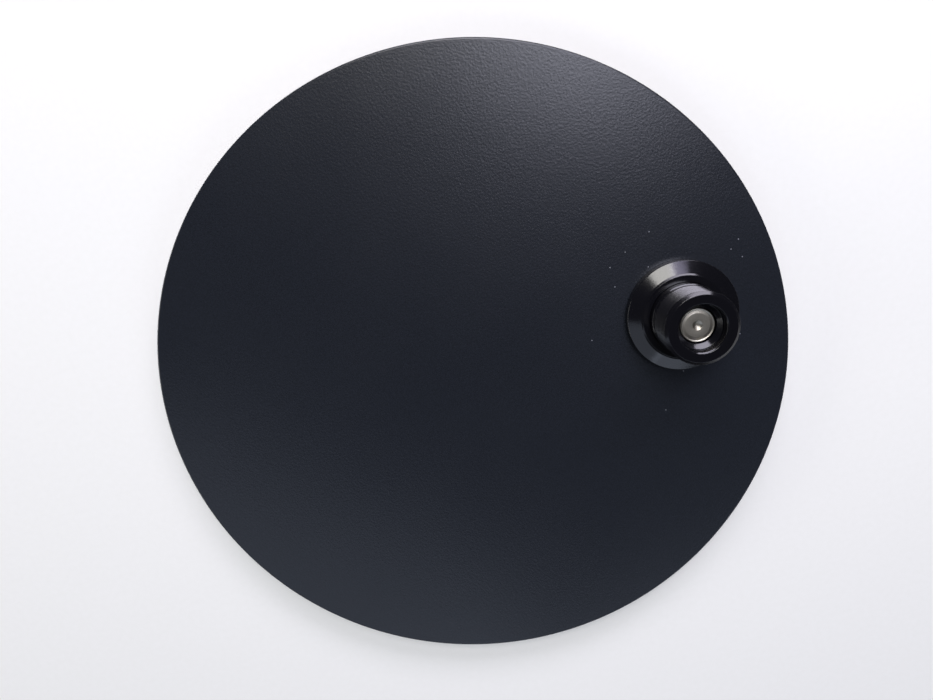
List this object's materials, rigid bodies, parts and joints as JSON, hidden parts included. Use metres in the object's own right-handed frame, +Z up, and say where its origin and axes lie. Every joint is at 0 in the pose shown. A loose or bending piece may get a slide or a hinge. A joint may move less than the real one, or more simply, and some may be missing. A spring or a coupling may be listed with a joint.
{
  "type": "weighted stand base",
  "caption": "Round weighted stand base: thin textured disc on rubber feet, with an off-centre flanged post whose sleeve swivels for an upright tube.",
  "frame": {"origin": "under the disc's centre, on the surface that the feet stand on", "axes": "+Z up, parallel to the post's axis; +X from the disc's centre towards the post; +Y completes the right-handed frame"},
  "size_m": [0.25, 0.25, 0.0357],
  "materials": {
    "powder_coated_steel": "black powder coat with a fine leathery texture",
    "gloss_black_steel": "gloss black lacquer over turned steel",
    "turned_black_aluminium": "black anodised, with fine turning lines",
    "bright_steel": "zinc plated, faced end, satin",
    "spring_steel": "oil hardened, smooth",
    "thrust_polymer": "natural low-friction polymer",
    "sintered_bronze": "fine-grained, oil filled",
    "cover_plastic": "black, fine matt",
    "foot_rubber": "black, matt"
  },
  "bodies": {
    "base": {"base_plate": "powder_coated_steel", "hub_flange": "gloss_black_steel", "post_core": "gloss_black_steel", "cap_ring": "gloss_black_steel", "pivot_bolt": "bright_steel", "lock_washer": "spring_steel", "dowel_pin_1": "spring_steel", "dowel_pin_2": "spring_steel", "lower_thrust_washer": "thrust_polymer", "upper_thrust_washer": "thrust_polymer", "wave_spring": "spring_steel", "recess_cover": "cover_plastic", "foot_1": "foot_rubber", "foot_2": "foot_rubber", "foot_3": "foot_rubber", "foot_4": "foot_rubber", "foot_5": "foot_rubber", "foot_6": "foot_rubber"},
    "swivel": {"swivel_sleeve": "turned_black_aluminium", "sleeve_bush": "sintered_bronze"}
  },
  "joints": [
    {"name": "sleeve_turn", "type": "hinge", "parent": "base", "child": "swivel", "pos_m": [0.0845, 0, 0.0275], "axis": [0, 0, 1], "continuous": true}
  ]
}
